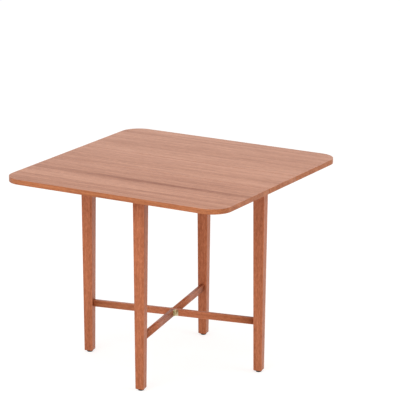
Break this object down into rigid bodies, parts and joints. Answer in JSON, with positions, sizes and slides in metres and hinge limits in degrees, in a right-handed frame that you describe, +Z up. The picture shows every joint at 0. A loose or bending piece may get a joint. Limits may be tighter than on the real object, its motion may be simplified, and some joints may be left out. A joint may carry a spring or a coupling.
{
  "type": "drop-leaf table",
  "caption": "Square wooden drop-leaf table with rounded corners, a narrow fixed centre panel, two hinged leaves and two swinging gate legs joined by low crossed stretchers.",
  "frame": {"origin": "centre of the table's footprint, on the floor", "axes": "+X along the leaf seams, +Y across the leaves towards the rear leaf, +Z up"},
  "size_m": [0.904, 0.904, 0.75],
  "materials": {
    "panel_wood": "satin lacquer",
    "leaf_wood": "satin lacquer",
    "leg_wood": "satin lacquer",
    "rail_wood": "satin lacquer",
    "hinge_brass": "brushed",
    "pin_steel": "brushed",
    "glide_plastic": "matte"
  },
  "bodies": {
    "base": {"centre_panel": "panel_wood", "leg_left": "leg_wood", "leg_right": "leg_wood", "top_rail": "rail_wood", "stretcher": "rail_wood", "glide_left": "glide_plastic", "glide_right": "glide_plastic", "panel_plate_front_left": "hinge_brass", "panel_plate_front_middle": "hinge_brass", "panel_plate_front_right": "hinge_brass", "panel_plate_rear_left": "hinge_brass", "panel_plate_rear_middle": "hinge_brass", "panel_plate_rear_right": "hinge_brass", "leaf_pin_front_left": "pin_steel", "leaf_pin_front_middle": "pin_steel", "leaf_pin_front_right": "pin_steel", "leaf_pin_rear_left": "pin_steel", "leaf_pin_rear_middle": "pin_steel", "leaf_pin_rear_right": "pin_steel", "frame_plate_front_upper": "hinge_brass", "frame_plate_front_lower": "hinge_brass", "frame_plate_rear_upper": "hinge_brass", "frame_plate_rear_lower": "hinge_brass", "gate_pin_front_upper": "pin_steel", "gate_pin_front_lower": "pin_steel", "gate_pin_rear_upper": "pin_steel", "gate_pin_rear_lower": "pin_steel", "panel_hinge_screws": "hinge_brass", "frame_hinge_screws": "hinge_brass", "top_screws": "pin_steel"},
    "gate_front": {"leg_front": "leg_wood", "gate_rail_front": "rail_wood", "gate_stretcher_front": "rail_wood", "glide_front": "glide_plastic", "gate_plate_front_upper": "hinge_brass", "gate_plate_front_lower": "hinge_brass", "gate_hinge_screws_front": "hinge_brass"},
    "gate_rear": {"leg_rear": "leg_wood", "gate_rail_rear": "rail_wood", "gate_stretcher_rear": "rail_wood", "glide_rear": "glide_plastic", "gate_plate_rear_upper": "hinge_brass", "gate_plate_rear_lower": "hinge_brass", "gate_hinge_screws_rear": "hinge_brass"},
    "flap_front": {"leaf_front": "leaf_wood", "leaf_plate_front_left": "hinge_brass", "leaf_plate_front_middle": "hinge_brass", "leaf_plate_front_right": "hinge_brass", "leaf_hinge_screws_front": "hinge_brass"},
    "flap_rear": {"leaf_rear": "leaf_wood", "leaf_plate_rear_left": "hinge_brass", "leaf_plate_rear_middle": "hinge_brass", "leaf_plate_rear_right": "hinge_brass", "leaf_hinge_screws_rear": "hinge_brass"}
  },
  "joints": [
    {"name": "gate_front_swing", "type": "hinge", "parent": "base", "child": "gate_front", "pos_m": [0.01187, -0.00819, 0.45], "axis": [0, 0, 1], "range_deg": [0, 78]},
    {"name": "gate_rear_swing", "type": "hinge", "parent": "base", "child": "gate_rear", "pos_m": [-0.01187, 0.00819, 0.45], "axis": [0, 0, 1], "range_deg": [0, 78]},
    {"name": "leaf_front_hinge", "type": "hinge", "parent": "base", "child": "flap_front", "pos_m": [0, -0.1015, 0.7282], "axis": [-1, 0, 0], "range_deg": [0, 2]},
    {"name": "leaf_rear_hinge", "type": "hinge", "parent": "base", "child": "flap_rear", "pos_m": [0, 0.1015, 0.7282], "axis": [1, 0, 0], "range_deg": [0, 2]}
  ]
}
